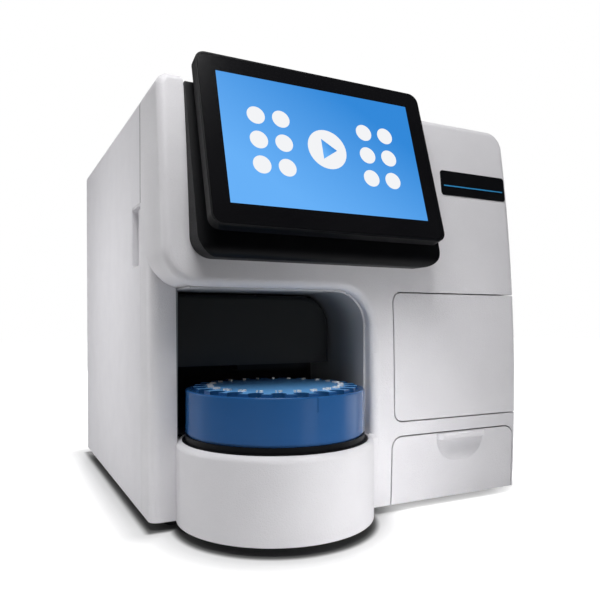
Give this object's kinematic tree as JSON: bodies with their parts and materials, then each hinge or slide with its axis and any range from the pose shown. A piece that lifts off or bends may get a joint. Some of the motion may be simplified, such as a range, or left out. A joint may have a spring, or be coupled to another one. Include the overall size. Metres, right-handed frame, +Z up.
{
  "type": "automated cell counter",
  "caption": "Bench cell counter: moulded front with a hooded sample niche and round carousel, tilted touch screen, hinged reagent door and sliding waste drawer.",
  "frame": {"origin": "bottom centre of the bounding box, on the table under the feet", "axes": "+Z up, +Y from the front to the rear, +X to the user's right"},
  "size_m": [0.43, 0.542, 0.4586],
  "materials": {
    "white_plastic": "fine moulded texture, satin",
    "painted_cover": "fine powder coat",
    "black_plastic": "satin moulded",
    "gloss_black": "polished",
    "liner_grey": "satin moulded",
    "screen_glass": "flat touch glass, black behind",
    "blue_plastic": "glossy moulded",
    "dark_rubber": "moulded",
    "steel": "plain",
    "zinc_sheet": "plated sheet",
    "aluminium": "machined",
    "grey_plastic": "moulded",
    "clear_glass": "clear",
    "board_green": "circuit board",
    "pack_white": "carton and film"
  },
  "bodies": {
    "housing": {"front_fascia": "white_plastic", "wrap_cover": "painted_cover", "rear_panel": "painted_cover", "base_plate": "zinc_sheet", "mid_bulkhead": "zinc_sheet", "side_pull": "white_plastic", "feet": "dark_rubber", "rear_screws": "steel", "screen_mount": "black_plastic", "monitor_back": "black_plastic", "monitor_frame": "black_plastic", "monitor_glass": "screen_glass", "lcd_panel": "gloss_black", "niche_liner": "liner_grey", "probe_shroud": "black_plastic", "probe_guide": "black_plastic", "probe_rail": "aluminium", "probe_rods": "steel", "probe_motor": "grey_plastic", "turntable_bearing": "steel", "carousel_motor": "grey_plastic", "door_hinge_pins": "steel", "door_magnet": "grey_plastic", "reagent_bay": "grey_plastic", "reagent_pack": "pack_white", "drawer_rails": "steel", "syringe_pump": "grey_plastic", "syringe_motor": "grey_plastic", "syringe_barrel": "clear_glass", "selector_valve": "pack_white", "optical_bench": "aluminium", "bench_posts": "aluminium", "camera_module": "black_plastic", "objective_lens": "aluminium", "flow_cell": "clear_glass", "led_illuminator": "aluminium", "power_supply": "zinc_sheet", "controller_board": "board_green", "board_standoffs": "steel", "usb_port": "steel", "network_port": "steel", "fan_frame": "black_plastic", "fan_guard": "steel", "power_inlet": "black_plastic"},
    "carousel_body": {"carousel": "blue_plastic", "turntable": "black_plastic", "carousel_shaft": "steel"},
    "door_body": {"reagent_door": "white_plastic", "door_strike": "steel"},
    "drawer_body": {"drawer_front": "white_plastic", "drawer_tray": "grey_plastic"},
    "probe_body": {"probe_carriage": "grey_plastic", "sample_probe": "steel", "actuator_rod": "steel"},
    "plunger_body": {"syringe_plunger": "steel"},
    "fan_body": {"fan_rotor": "black_plastic"},
    "rocker_body": {"power_rocker": "gloss_black"}
  },
  "joints": [
    {"name": "carousel_spin", "type": "hinge", "parent": "housing", "child": "carousel_body", "pos_m": [-0.0902, -0.1695, 0.094], "axis": [0, 0, 1], "continuous": true},
    {"name": "door_hinge", "type": "hinge", "parent": "housing", "child": "door_body", "pos_m": [0.209, -0.166, 0.16835], "axis": [0, 0, 1], "range_deg": [0, 95]},
    {"name": "drawer_slide", "type": "slide", "parent": "housing", "child": "drawer_body", "axis": [0, -1, 0], "range_m": [0, 0.12]},
    {"name": "probe_lift", "type": "slide", "parent": "housing", "child": "probe_body", "axis": [0, 0, -1], "range_m": [0, 0.048]},
    {"name": "plunger_slide", "type": "slide", "parent": "housing", "child": "plunger_body", "axis": [0, 0, 1], "range_m": [-0.008, 0.03]},
    {"name": "fan_spin", "type": "hinge", "parent": "housing", "child": "fan_body", "pos_m": [0.115, 0.25, 0.345], "axis": [0, 1, 0], "continuous": true},
    {"name": "rocker_pivot", "type": "hinge", "parent": "housing", "child": "rocker_body", "pos_m": [-0.143, 0.263, 0.0788], "axis": [1, 0, 0], "range_deg": [-14, 0]}
  ]
}
